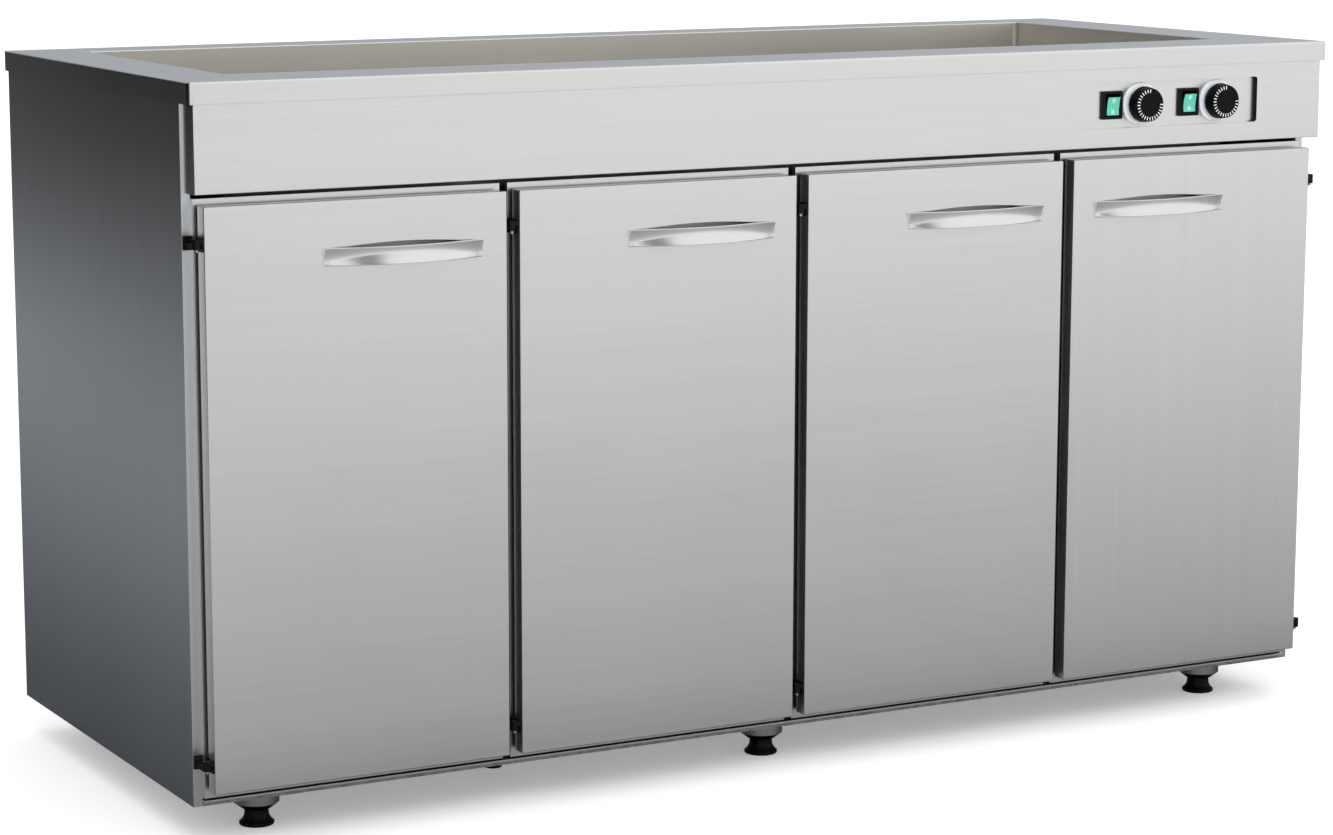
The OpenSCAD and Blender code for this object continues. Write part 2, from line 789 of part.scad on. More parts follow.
// Base tray: the floor under the cupboards, folded down at the front
module base_tray() {
  color(steel) in_place() difference() {
    union() {
      block([-bay_span, bay_y, tray_z], [bay_span, body_rear - sheet_t, tray_top]);
      block([-bay_span, bay_y, tray_top - tray_lip], [bay_span, bay_y + tray_t, tray_top]);
    }
    translate([drain_x, drain_y, tray_z - over]) cylinder(h = tray_t + 2 * over, r = drain_hole_r);
  }
}

// One cupboard: a folded box with a rim round its opening and a tall rail over it
function bay_x(i) = -bay_span + i * (bay_w + bay_gap);

module compartment(i) {
  t = inner_t;
  a = [bay_x(i), bay_y, rim_z];
  b = [bay_x(i) + bay_w, flange_y, bay_top];
  mouth_a = [a[0] + rim_w, bay_y - over, rim_z + rim_w];
  mouth_b = [b[0] - rim_w, flange_y + over, bay_ceiling - rim_w];
  color(steel) in_place() difference() {
    union() {
      block([a[0], flange_y, tray_top], [b[0], bay_rear, bay_ceiling]);
      block(a, b);
      block([a[0], flange_y - t, tray_top], [b[0], flange_y, rim_z + t]);
    }
    block([a[0] + t, flange_y, tray_top + t], [b[0] - t, bay_rear - t, bay_ceiling - t]);
    block([a[0] + t, bay_y + t, bay_ceiling], [b[0] - t, flange_y + over, bay_top - t]);
    difference() {
      block([a[0] + t, bay_y + t, rim_z + t], [b[0] - t, flange_y + over, bay_ceiling - t]);
      block(mouth_a - [t, 0, t], mouth_b + [t, -over, t]);
    }
    block(mouth_a, mouth_b);
    if (drain_x > a[0] && drain_x < b[0]) drain_cut(drain_hole_r, tray_top - over, bay_ceiling + over);
  }
}

module compartment_1() { compartment(0); }
module compartment_2() { compartment(1); }
module compartment_3() { compartment(2); }
module compartment_4() { compartment(3); }

// Doors are drawn with the hinge edge at X = 0, the free edge at X = door_w and Y from the
// worktop's front edge. hang() turns the last one over, so that its hinge is on the right.
function door_x(i) = bay_x(i) + door_side;

module hang(i) {
  turned = i == bays - 1 ? 1 : 0;
  in_place() translate([door_x(i) + turned * door_w, 0, 0]) mirror([turned, 0, 0]) children();
}

handle_x1 = door_w - handle_edge;
handle_x0 = handle_x1 - handle_w;

// The finger recess: square at the bottom and arched at the top
module recess_outline() {
  top = handle_z + handle_h;
  r = (recess_w * recess_w / 4 + arch_rise * arch_rise) / (2 * arch_rise);
  inset = 6;
  sill = 4;
  x = (handle_x0 + handle_x1) / 2;
  translate([x - recess_w / 2 + inset, handle_z + sill]) square([recess_w - 2 * inset, handle_h - sill]);
  intersection() {
    translate([x, top + arch_rise - r]) circle(r, $fn = 360);
    translate([x - recess_w / 2, top - over]) square([recess_w, arch_rise + 2 * over]);
  }
}

// Door skin: a pan folded back on all four sides, with the finger recess cut in it
module door_skin(i) {
  t = sheet_t;
  r = 1;
  color(steel) hang(i) difference() {
    slab(door_set, door_rear - inner_t) round_rect([0, door_z], [door_w, door_z + door_h], r);
    slab(door_set + t, door_rear) round_rect([t, door_z + t], [door_w - t, door_z + door_h - t], r);
    slab(door_set - over, door_set + t + over) recess_outline();
  }
}

module door_skin_1() { door_skin(0); }
module door_skin_2() { door_skin(1); }
module door_skin_3() { door_skin(2); }
module door_skin_4() { door_skin(3); }

// Door liner: the inner plate, with a raised panel
module door_liner(i) {
  raise = 3;
  b = [30, 30];
  t = [inner_t, inner_t];
  lo = [0, door_z];
  hi = [door_w, door_z + door_h];
  color(steel) hang(i) difference() {
    union() {
      slab(door_rear - inner_t, door_rear) round_rect(lo, hi, 1);
      slab(door_rear - inner_t - raise, door_rear) round_rect(lo + b, hi - b, 6);
    }
    slab(door_rear - raise, door_rear + over) round_rect(lo + b + t, hi - b - t, 6 - inner_t);
  }
}

module door_liner_1() { door_liner(0); }
module door_liner_2() { door_liner(1); }
module door_liner_3() { door_liner(2); }
module door_liner_4() { door_liner(3); }

// Handle: a strip on two flat feet that bows out of the door, further at its lower edge. Both
// edges are arcs over the same width, so its faces are swept between them.
function arc_bow(x, w, bow) =
  let (r = (w * w / 4 + bow * bow) / (2 * bow)) max(sqrt(max(r * r - x * x, 0)) - r + bow, 0);

function strip_ring(x) =
  let (w = handle_w - 2 * handle_foot, z1 = handle_z + handle_h)
  let (low = door_set - arc_bow(x, w, handle_bow - handle_t))
  let (high = door_set - arc_bow(x, w, handle_bow_top - handle_t))
  [[x, low - handle_t, handle_z], [x, high - handle_t, z1], [x, high, z1], [x, low, handle_z]];

module handle(i) {
  half = handle_w / 2;
  arc = half - handle_foot;
  xs = [-half, for (k = [0:handle_steps]) -arc + k * 2 * arc / handle_steps, half];
  points = [for (x = xs) each strip_ring(x)];
  n = len(xs);
  sides = [for (k = [0:n - 2], j = [0:3]) let (a = 4 * k + j, b = 4 * k + (j + 1) % 4)
    each [[a, b, b + 4], [a, b + 4, a + 4]]];
  ends = [[0, 2, 1], [0, 3, 2], [4 * n - 4, 4 * n - 3, 4 * n - 2], [4 * n - 4, 4 * n - 2, 4 * n - 1]];
  color(steel) hang(i) translate([(handle_x0 + handle_x1) / 2, 0, 0]) polyhedron(points, concat(sides, ends));
}

module handle_1() { handle(0); }
module handle_2() { handle(1); }
module handle_3() { handle(2); }
module handle_4() { handle(3); }

// Hinge leaves: a plate on the door's edge and the upper knuckle of each hinge
module hinge_leaves(i) {
  leaf_rear = door_rear - inner_t - 1;
  color(black) hang(i) for (z = hinge_zs) difference() {
    union() {
      block([-leaf_t, pin_y - knuckle_r, z - leaf_h / 2], [0, leaf_rear, z + leaf_h / 2]);
      translate([-hinge_reach, pin_y, z + gap / 2]) cylinder(h = knuckle_h, r = knuckle_r);
      block([-hinge_reach, pin_y - knuckle_r, z + gap / 2], [-leaf_t + 0.5, pin_y, z + gap / 2 + knuckle_h]);
    }
    translate([-hinge_reach, pin_y, z - over]) cylinder(h = knuckle_h + 3 * over, r = pin_r + run_fit);
    translate([-hinge_reach, pin_y, z - leaf_h]) cylinder(h = leaf_h + gap / 2, r = knuckle_r + gap);
  }
}

module hinge_leaves_1() { hinge_leaves(0); }
module hinge_leaves_2() { hinge_leaves(1); }
module hinge_leaves_3() { hinge_leaves(2); }
module hinge_leaves_4() { hinge_leaves(3); }

// Door seal: a black gasket round the back of the door
module door_seal(i) {
  a = [seal_inset, door_z + seal_inset];
  b = [door_w - seal_inset, door_z + door_h - seal_inset];
  w = [seal_w, seal_w];
  step = [1.5, 1.5];
  step_d = 2;
  r = 4;
  color(black) hang(i) difference() {
    slab(door_rear, seal_rear) round_rect(a, b, r);
    slab(door_rear - over, seal_rear + over) round_rect(a + w, b - w, 1);
    slab(seal_rear - step_d, seal_rear + over) difference() {
      round_rect(a - w, b + w, r);
      round_rect(a + step, b - step, r - 1);
    }
  }
}

module door_seal_1() { door_seal(0); }
module door_seal_2() { door_seal(1); }
module door_seal_3() { door_seal(2); }
module door_seal_4() { door_seal(3); }

// Hinge brackets: the lower knuckle of each hinge on an arm. The outer ones are screwed to
// the side panels' flanges and the inner ones to the sides of their cupboards.
module hinge_bracket(i, z) {
  outer = i == 0 || i == bays - 1;
  x = -hinge_reach;
  edge = -door_side;
  z0 = z - gap / 2 - knuckle_h;
  z1 = z - gap / 2;
  difference() {
    union() {
      translate([x, pin_y, z0]) cylinder(h = knuckle_h, r = knuckle_r);
      block([x - knuckle_r, pin_y, z0], [x + arm_x, outer ? flange_y : bay_y - arm_back, z1]);
      if (outer) block([edge - flange_w + bracket_margin, flange_y - bracket_t, z - leaf_h / 2],
        [edge, flange_y, z + leaf_h / 2]);
      if (!outer) block([edge - bracket_t, bay_y - bracket_front, z - leaf_h / 2],
        [edge, bay_y + bracket_back, z + leaf_h / 2]);
    }
    translate([x, pin_y, z - leaf_h]) cylinder(h = 2 * leaf_h, r = pin_r);
  }
}

module hinge_brackets() {
  color(black) for (i = [0:bays - 1], z = hinge_zs) hang(i) hinge_bracket(i, z);
}

// Hinge pins: fixed in the brackets' knuckles, with a tail below
module hinge_pins() {
  z0 = -knuckle_h - pin_tail;
  short = 0.5;
  color(dark_steel) for (i = [0:bays - 1], z = hinge_zs) hang(i) translate([-hinge_reach, pin_y, z + z0])
    cylinder(h = 2 * knuckle_h + pin_tail - short, r = pin_r);
}

// Foot cups: short steel legs welded under the base frame
module foot_cups() {
  h = cup_top - cup_z;
  lid = 2;
  color(steel) in_place() for (x = foot_xs, y = foot_ys) translate([x, y, cup_z]) difference() {
    cylinder(h = h, r = cup_d / 2);
    translate([0, 0, -over]) cylinder(h = h - lid + over, r = cup_d / 2 - cup_t);
    cylinder(h = h + over, r = stud_r + 1);
  }
}

// Foot plugs: cones pressed into the cups, bored for the studs
module foot_plugs() {
  r = cup_d / 2;
  bore_r = stud_r + run_fit;
  nose_r = r - 10;
  color(black) in_place() for (x = foot_xs, y = foot_ys) translate([x, y, 0]) rotate_extrude() polygon([
    [bore_r, plug_z], [nose_r, plug_z], [r, cup_z], [r - cup_t, cup_z], [r - cup_t, cup_z + plug_in],
    [bore_r, cup_z + plug_in]]);
}

// Levelling foot: a flared pad on a threaded stud
module levelling_foot(k) {
  x = foot_xs[k % 3];
  y = foot_ys[floor(k / 3)];
  r = pad_d / 2;
  neck_r = r - 7;
  color(black) in_place() translate([x, y, 0]) rotate_extrude() polygon([
    [0, 0], [r - 1, 0], [r, 1], [r, 3.5], [r - 3, 6], [neck_r + 1, 11], [neck_r, pad_h], [stud_r, pad_h],
    [stud_r, stud_top - 1], [stud_r - 1, stud_top], [0, stud_top]]);
}

module levelling_foot_1() { levelling_foot(0); }
module levelling_foot_2() { levelling_foot(1); }
module levelling_foot_3() { levelling_foot(2); }
module levelling_foot_4() { levelling_foot(3); }
module levelling_foot_5() { levelling_foot(4); }
module levelling_foot_6() { levelling_foot(5); }

worktop();
well();
well_lagging();
well_casing();
heating_elements();
drain_outlet();
drain_valve();
drain_pipe();
apron();
control_plate();
control_box();
dial_bezels();
switch_cases();
thermostats();
terminal_block();
cable_gland();
side_panel_left();
side_panel_right();
back_panel();
base_frame();
base_tray();
foot_cups();
foot_plugs();
compartment_1();
compartment_2();
compartment_3();
compartment_4();
hinge_brackets();
hinge_pins();
door_skin_1();
door_skin_2();
door_skin_3();
door_skin_4();
door_liner_1();
door_liner_2();
door_liner_3();
door_liner_4();
handle_1();
handle_2();
handle_3();
handle_4();
hinge_leaves_1();
hinge_leaves_2();
hinge_leaves_3();
hinge_leaves_4();
door_seal_1();
door_seal_2();
door_seal_3();
door_seal_4();
knob_1();
knob_2();
rocker_1();
rocker_2();
valve_lever();
levelling_foot_1();
levelling_foot_2();
levelling_foot_3();
levelling_foot_4();
levelling_foot_5();
levelling_foot_6();
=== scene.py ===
import json
import math

import bmesh
import bpy
from mathutils import Euler, Matrix, Vector


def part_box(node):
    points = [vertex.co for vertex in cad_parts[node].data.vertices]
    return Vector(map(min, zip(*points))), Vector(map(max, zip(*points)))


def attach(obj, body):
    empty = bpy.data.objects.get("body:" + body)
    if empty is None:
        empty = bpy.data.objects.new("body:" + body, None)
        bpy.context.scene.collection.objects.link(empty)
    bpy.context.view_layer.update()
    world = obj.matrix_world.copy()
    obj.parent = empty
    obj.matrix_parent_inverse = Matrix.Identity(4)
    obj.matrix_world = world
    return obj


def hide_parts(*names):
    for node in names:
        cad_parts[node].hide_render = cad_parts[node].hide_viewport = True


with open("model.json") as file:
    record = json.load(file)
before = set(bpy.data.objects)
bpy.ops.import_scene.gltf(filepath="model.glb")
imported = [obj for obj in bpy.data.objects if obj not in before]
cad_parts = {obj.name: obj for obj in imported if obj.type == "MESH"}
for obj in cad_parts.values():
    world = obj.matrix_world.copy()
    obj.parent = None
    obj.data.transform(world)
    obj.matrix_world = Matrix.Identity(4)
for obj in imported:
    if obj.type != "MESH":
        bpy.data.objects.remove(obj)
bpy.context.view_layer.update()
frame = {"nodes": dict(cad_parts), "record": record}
mm = 0.001
X, Y, Z = 0, 1, 2
doors = (1, 2, 3, 4)
controls = (1, 2)
# Two coordinates closer than this are the same one
same = 0.01 * mm


def tint(red, green, blue):
    """A linear colour from the levels that a screen shows."""
    return tuple((level / 255) ** 2.2 for level in (red, green, blue)) + (1.0,)


def grey(level):
    return (level, level, level, 1.0)


def cool(level):
    """A grey with a little blue in it."""
    return (level * 0.96, level, level * 1.07, 1.0)


def scaled(colour, share):
    """A darker or a lighter tone of a colour."""
    return tuple(min(level * share, 1.0) for level in colour[:3]) + (1.0,)


class Value:
    """A socket of a node tree. Arithmetic on it adds Math nodes."""

    def __init__(self, graph, socket):
        self.graph = graph
        self.socket = socket

    def __add__(self, other):
        return self.graph.maths("ADD", self, other)

    def __sub__(self, other):
        return self.graph.maths("SUBTRACT", self, other)

    def __rsub__(self, other):
        return self.graph.maths("SUBTRACT", other, self)

    def __mul__(self, other):
        return self.graph.maths("MULTIPLY", self, other)

    def __gt__(self, other):
        return self.graph.maths("GREATER_THAN", self, other)

    def __abs__(self):
        return self.graph.maths("ABSOLUTE", self)

    __radd__ = __add__
    __rmul__ = __mul__


class Graph:
    """A node tree that is being built."""

    def __init__(self, tree):
        self.tree = tree

    def node(self, kind, settings=None, sockets=None, out=0):
        """Add a node with its settings and inputs, and give one of its outputs."""
        made = self.tree.nodes.new(kind)
        for name, setting in (settings or {}).items():
            setattr(made, name, setting)
        for name, given in (sockets or {}).items():
            if isinstance(given, Value):
                self.tree.links.new(given.socket, made.inputs[name])
            else:
                made.inputs[name].default_value = given
        return Value(self, made.outputs[out]) if made.outputs else made

    def maths(self, operation, a, b=0.0):
        return self.node("ShaderNodeMath", {"operation": operation}, {0: a, 1: b})

    def part(self, vector, axis):
        """One coordinate of a vector."""
        return self.node("ShaderNodeSeparateXYZ", sockets={0: vector}, out=axis)


class Finish(Graph):
    """A material that is being built."""

    def __init__(self, name):
        self.material = bpy.data.materials.new(name)
        self.material.use_nodes = True
        super().__init__(self.material.node_tree)
        self.tree.nodes.clear()
        self.place = self.node("ShaderNodeTexCoord", out="Object")

    def laid(self, scale, at=None, move=(0, 0, 0)):
        """Coordinates, the object's own unless others are given, scaled and then moved."""
        sockets = {"Vector": at or self.place, "Location": move, "Scale": scale}
        return self.node("ShaderNodeMapping", sockets=sockets)

    def noise(self, at, detail=2.0, rough=0.5):
        sockets = {"Vector": at, "Scale": 1.0, "Detail": detail, "Roughness": rough}
        return self.node("ShaderNodeTexNoise", sockets=sockets)

    def clouds(self, per_metre, detail=2.0, rough=0.5):
        """Noise with as many lumps to a metre all ways."""
        return self.noise(self.laid((per_metre, per_metre, per_metre)), detail, rough)

    def ramp(self, value, *stops):
        """Colours at positions from 0 to 1, and the blends between them."""
        shade = self.node("ShaderNodeValToRGB", sockets={0: value})
        elements = shade.socket.node.color_ramp.elements
        while len(elements) < len(stops):
            elements.new(0.5)
        for element, (position, colour) in zip(elements, stops):
            element.position = position
            element.color = colour
        return shade

    def blend(self, factor, a, b, kind="RGBA"):
        first, out = {"RGBA": (6, 2), "VECTOR": (4, 1)}[kind]
        sockets = {0: factor, first: a, first + 1: b}
        return self.node("ShaderNodeMix", {"data_type": kind}, sockets, out=out)

    def bump(self, height, strength, distance):
        sockets = {"Height": height, "Strength": strength, "Distance": distance}
        return self.node("ShaderNodeBump", sockets=sockets)

    def done(self, **sockets):
        named = {name.replace("_", " "): given for name, given in sockets.items()}
        shader = self.node("ShaderNodeBsdfPrincipled", sockets=named)
        self.node("ShaderNodeOutputMaterial", sockets={"Surface": shader})
        return self.material


def brushed(name, along, tone, rough=0.3, ends=None, streaks=0.6, bands=0.36, painted_joint_shade=None):
    """Brushed steel: hairlines along one axis, soft streaks between them and broad faint bands.

    ends is the grain's axis on the faces that look along the first axis. streaks and bands say how
    much those show. The last argument is a height and a depth: where the sheet lies both below the
    one and in front of the other, it is painted near black as painted shade in a recessed joint.
    """
    f = Finish(name)
    if ends is not None:
        facing = f.node("ShaderNodeTexCoord", out="Normal")
        at_end = abs(f.part(facing, along)) > 0.7

    def drawn_out(width, length, axis):
        scale = [1 / width] * 3
        scale[axis] = 1 / length
        return f.laid(scale)

    def grain(width, length):
        at = drawn_out(width, length, along)
        if ends is not None:
            at = f.blend(at_end, at, drawn_out(width, length, ends), "VECTOR")
        return f.noise(at, detail=3.0, rough=0.6)

    fine = grain(0.6 * mm, 300 * mm)
    soft = grain(2.6 * mm, 600 * mm)
    broad = grain(22 * mm, 1200 * mm)
    smudge = f.clouds(6, detail=4.0, rough=0.55)
    shade = 0.5 + (fine - 0.5) * 0.5 + (soft - 0.5) * streaks + (broad - 0.5) * bands
    shade = shade + (smudge - 0.5) * 0.2
    base = f.blend(shade, scaled(tone, 0.9), scaled(tone, 1.08))
    # Painted shade: the recessed joint low down at the front is coloured near black for its shadow
    if painted_joint_shade is not None:
        height, depth = painted_joint_shade
        clear = f.maths("MAXIMUM", f.part(f.place, Z) > height, f.part(f.place, Y) > depth)
        base = f.blend(clear, tint(14, 14, 15), base)
    roughness = rough + (soft - 0.5) * 0.06 + (smudge - 0.5) * 0.06
    normal = f.bump(fine + soft * 0.6, strength=0.04, distance=0.3 * mm)
    return f.done(Base_Color=base, Metallic=1.0, Roughness=roughness, Normal=normal)


def dull_steel(name, tone, rough):
    """Cold-rolled sheet with a matt skin, as the hidden panels have."""
    f = Finish(name)
    cloud = f.clouds(14, detail=5.0, rough=0.6)
    fleck = f.clouds(420)
    base = f.blend(cloud * 0.7 + fleck * 0.3, scaled(tone, 0.88), tone)
    normal = f.bump(fleck, strength=0.08, distance=0.3 * mm)
    return f.done(Base_Color=base, Metallic=1.0, Roughness=rough + cloud * 0.14, Normal=normal)


def galvanised():
    """Zinc spangle: flat crystals of slightly different greys."""
    f = Finish("galvanised_steel")
    sockets = {"Vector": f.place, "Scale": 130.0, "Randomness": 1.0}
    crystal = f.node("ShaderNodeTexVoronoi", {"feature": "F1"}, sockets, out="Color")
    grain = f.node("ShaderNodeSeparateColor", sockets={0: crystal})
    base = f.blend(grain * 0.75 + f.clouds(300) * 0.25, tint(140, 144, 148), tint(184, 187, 190))
    return f.done(Base_Color=base, Metallic=1.0, Roughness=0.34 + grain * 0.22)


def turned_metal(name, tone, rough=0.28):
    """Round metal parts, with fine rings from the lathe and small stains."""
    f = Finish(name)
    rings = f.noise(f.laid((40, 40, 2600)))
    stain = f.clouds(60, detail=4.0, rough=0.6)
    base = f.blend(stain * 0.6 + rings * 0.4, scaled(tone, 0.82), tone)
    normal = f.bump(rings, strength=0.1, distance=0.2 * mm)
    return f.done(Base_Color=base, Metallic=1.0, Roughness=rough + stain * 0.16, Normal=normal)


def heated_element():
    """A sheathed element, straw and blue where it has run hot."""
    f = Finish("element_steel")
    heat = f.clouds(9, detail=3.0)
    base = f.ramp(heat, (0.3, tint(96, 88, 82)), (0.5, tint(132, 112, 84)), (0.7, tint(88, 92, 108)))
    return f.done(Base_Color=base, Metallic=1.0, Roughness=0.42 + heat * 0.1)


def mineral_wool():
    f = Finish("lagging_wool")
    fibres = f.noise(f.laid((900, 900, 160)), detail=5.0, rough=0.7)
    tufts = f.clouds(60, detail=4.0)
    base = f.blend(fibres * 0.6 + tufts * 0.4, tint(168, 150, 92), tint(226, 212, 164))
    normal = f.bump(fibres + tufts, strength=0.7, distance=1.5 * mm)
    return f.done(Base_Color=base, Roughness=0.95, Normal=normal)


def moulded(name, dark, light, rough, gloss=0.5):
    """Moulded plastic or rubber: a fine pebbled skin, and dust that greys it a little."""
    f = Finish(name)
    skin = f.clouds(1500)
    dust = f.clouds(50, detail=4.0, rough=0.6)
    base = f.blend(dust * 0.8 + skin * 0.2, dark, light)
    normal = f.bump(skin, strength=0.12, distance=0.2 * mm)
    return f.done(Base_Color=base, Roughness=rough + dust * 0.12, Normal=normal, Specular_IOR_Level=gloss)


def lit_rocker(name, node):
    """A green lens lit from behind, with painted highlights near its upper and lower ends."""
    highlight_up, highlight_core, highlight_halo, flatten = 6.2 * mm, 0.6 * mm, 4.2 * mm, 0.1
    low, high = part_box(node)
    middle = (low + high) / 2
    f = Finish(name)
    at = f.laid((1, flatten, 1), move=(-middle.x, -middle.y * flatten, -middle.z))

    # Each spot is a painted highlight: a soft bright patch in the emission colour
    def spot(up):
        away = f.laid((1, 1, 0.85), at=at, move=(0, 0, -up))
        far = f.node("ShaderNodeVectorMath", {"operation": "LENGTH"}, {0: away}, out="Value")
        sockets = {"Value": far, "From Min": highlight_core, "From Max": highlight_halo, "To Min": 1.0, "To Max": 0.0}
        return f.node("ShaderNodeMapRange", {"interpolation_type": "SMOOTHSTEP"}, sockets)

    ribs = f.noise(f.laid((200, 60, 1800)), detail=1.0)
    base = f.blend(ribs, tint(62, 142, 124), tint(84, 168, 148))
    # The green emission stands for the lamp inside the lens, and the two spots on it are painted highlights
    glow = f.blend(spot(-highlight_up) + spot(highlight_up), tint(84, 172, 150), tint(214, 252, 243))
    normal = f.bump(ribs, strength=0.1, distance=0.2 * mm)
    return f.done(Base_Color=base, Roughness=0.22, Emission_Color=glow, Emission_Strength=0.55,
                  Normal=normal)


bright = tint(228, 228, 227)
finishes = {
    "worktop_steel": brushed("worktop_steel", X, bright, ends=Y),
    "well_steel": brushed("well_steel", X, tint(224, 221, 214), rough=0.34, ends=Y),
    "apron_steel": brushed("apron_steel", X, bright),
    "side_steel": brushed("side_steel", Z, tint(214, 217, 220), rough=0.34, streaks=1.2),
    "door_steel": brushed("door_steel", X, bright),
    "cupboard_steel": dull_steel("cupboard_steel", tint(204, 205, 205), 0.32),
    "galvanised_steel": galvanised(),
    "fitting_steel": turned_metal("fitting_steel", tint(208, 208, 205)),
    "element_steel": heated_element(),
    "valve_brass": turned_metal("valve_brass", tint(224, 190, 112), 0.26),
    "lagging_wool": mineral_wool(),
    "black_plastic": moulded("black_plastic", tint(10, 10, 11), tint(26, 26, 27), 0.36, gloss=0.15),
    "knob_plastic": moulded("knob_plastic", tint(8, 8, 9), tint(19, 19, 21), 0.3, gloss=0.12),
    "bezel_plastic": moulded("bezel_plastic", tint(232, 241, 249), tint(244, 249, 253), 0.3),
    "ceramic_white": moulded("ceramic_white", tint(214, 208, 196), tint(236, 232, 222), 0.45),
    "seal_rubber": moulded("seal_rubber", tint(12, 12, 13), tint(30, 30, 31), 0.55, gloss=0.2),
    "hinge_black": moulded("hinge_black", tint(9, 9, 10), tint(24, 24, 25), 0.34, gloss=0.2),
    "pin_steel": turned_metal("pin_steel", tint(190, 190, 188), 0.3),
}
# The last door's grain runs upright, and the others' along the counter
upright = brushed("door_steel_upright", Z, bright)
polished = brushed("handle_steel", X, tint(228, 228, 226), rough=0.2, streaks=0.48, bands=0.18)
lenses = {k: lit_rocker(f"rocker_lens_{k}", f"rocker_{k}") for k in controls}
# The joint between the base tray and the cupboards' rims, which lies back from the rims' front; the
# cupboards are painted near black there as painted shade
joint_height, joint_depth = 2.4 * mm, 6.9 * mm
cupboard_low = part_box("compartment_1")[0]
cupboard = brushed("cupboard_brushed", X, bright,
                   painted_joint_shade=(cupboard_low.z + joint_height, cupboard_low.y + joint_depth))


def finish_of(node, slot):
    """The material of one CAD node: its own if it has one, or else its slot's."""
    if node.startswith("rocker"):
        return finishes["knob_plastic"]
    if node.startswith("compartment"):
        return cupboard
    if node == "base_tray":
        return finishes["door_steel"]
    if node.startswith("handle"):
        return polished
    if node == "door_skin_4":
        return upright
    return finishes[slot]


def set_material(piece, material):
    piece.data.materials.clear()
    piece.data.materials.append(material)


slot_of = {part["node"]: part["material_slot"] for part in frame["record"]["subparts"]}
body_of = {node: body for body, nodes in frame["record"]["behaviour"]["bodies"].items() for node in nodes}
for node, slot in slot_of.items():
    set_material(frame["nodes"][node], finish_of(node, slot))

# Degrees between two faces over which their corner stays crisp, and the same on flat sheets
crisp_angle, sheet_angle = 38, 12


def new_piece(name, mesh, body, material, crisp=crisp_angle):
    """A piece from a finished bmesh, smooth over its bends and crisp at its corners."""
    data = bpy.data.meshes.new(name)
    mesh.to_mesh(data)
    mesh.free()
    data.shade_smooth()
    data.set_sharp_from_angle(angle=math.radians(crisp))
    piece = bpy.data.objects.new(name, data)
    bpy.context.scene.collection.objects.link(piece)
    piece.modifiers.new("flat_faces", "WEIGHTED_NORMAL").keep_sharp = True
    set_material(piece, material)
    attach(piece, body)
    return piece


def merged(node):
    """A copy of a CAD mesh, with its triangles joined and its flat faces made whole."""
    one_point, flat = 0.001 * mm, math.radians(0.5)
    mesh = bmesh.new()
    mesh.from_mesh(frame["nodes"][node].data)
    bmesh.ops.remove_doubles(mesh, verts=mesh.verts, dist=one_point)
    bmesh.ops.dissolve_limit(mesh, angle_limit=flat, verts=mesh.verts, edges=mesh.edges)
    return mesh


def swept(rings):
    """A closed solid through rings of points, with flat ends."""
    mesh = bmesh.new()
    rings = [[mesh.verts.new(point) for point in ring] for ring in rings]
    for a, b in zip(rings, rings[1:]):
        for i in range(len(a)):
            j = (i + 1) % len(a)
            mesh.faces.new((a[i], a[j], b[j], b[i]))
    mesh.faces.new(rings[0])
    mesh.faces.new(rings[-1][::-1])
    bmesh.ops.recalc_face_normals(mesh, faces=mesh.faces)
    return mesh


def corner_edges(mesh, picks):
    """The edges whose two ends both pass the test, where the shape turns by more than a bend's step."""
    least_turn = 0.8
    return [e for e in mesh.edges
            if e.calc_face_angle(0) > least_turn and all(picks(v.co) for v in e.verts)]


def round_off(mesh, edges, radius):
    """Round the edges. Points that come close are joined, so that no face is torn between them."""
    close = 0.03 * mm
    bmesh.ops.bevel(mesh, geom=edges, offset=radius, segments=3, profile=0.5, affect="EDGES")
    bmesh.ops.remove_doubles(mesh, verts=mesh.verts, dist=close)
    bmesh.ops.triangulate(mesh, faces=[face for face in mesh.faces if len(face.verts) > 4])


def round_front(mesh, low, high, radius, reach):
    """Round the edges of the front face that lie no further in from its outline than the reach."""
    def picks(at):
        inset = min(at.x - low.x, high.x - at.x, at.z - low.z, high.z - at.z)
        return abs(at.y - low.y) < same and inset < reach
    round_off(mesh, corner_edges(mesh, picks), radius)


def round_worktop(mesh, low, high):
    """Soften the lower edge of the front lip, and the edge that turns down into the well."""
    lip_radius, well_radius, least_border = 1.1 * mm, 1.2 * mm, 20 * mm

    def lip(at):
        return at.z < low.z + same and at.y < low.y + same

    def opening(at):
        inset = min(at.x - low.x, high.x - at.x, at.y - low.y, high.y - at.y)
        return at.z > high.z - same and inset > least_border
    round_off(mesh, corner_edges(mesh, lip), lip_radius)
    round_off(mesh, corner_edges(mesh, opening), well_radius)


def tighten_fold(mesh, low, high, side):
    """Bring the front fold of a side panel in to a small outer radius."""
    wide, small, near = 3 * mm, 0.5 * mm, 0.1 * mm
    corner = low.x if side < 0 else high.x
    for vertex in mesh.verts:
        out = Vector((-side * (vertex.co.x - corner) - wide, vertex.co.y - low.y - wide))
        if max(out) < same and abs(out.length - wide) < near:
            out = out.normalized() * small
            vertex.co.x = corner - side * (out.x + small)
            vertex.co.y = low.y + out.y + small


# The hinges' middles, up from the doors' lower edge and down from their upper one
lower_hinge, upper_hinge = 34.5 * mm, 41.9 * mm
hinge_heights = (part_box("door_skin_1")[0].z + lower_hinge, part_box("door_skin_1")[1].z - upper_hinge)


def slim_hinge(mesh):
    """Make the hinges' plates little taller than their knuckles."""
    share, most_up, most_down = 0.82, 7.2 * mm, 9 * mm
    for vertex in mesh.verts:
        middle = min(hinge_heights, key=lambda z: abs(vertex.co.z - z))
        up = (vertex.co.z - middle) * share
        vertex.co.z = middle + max(min(up, most_up), -most_down)


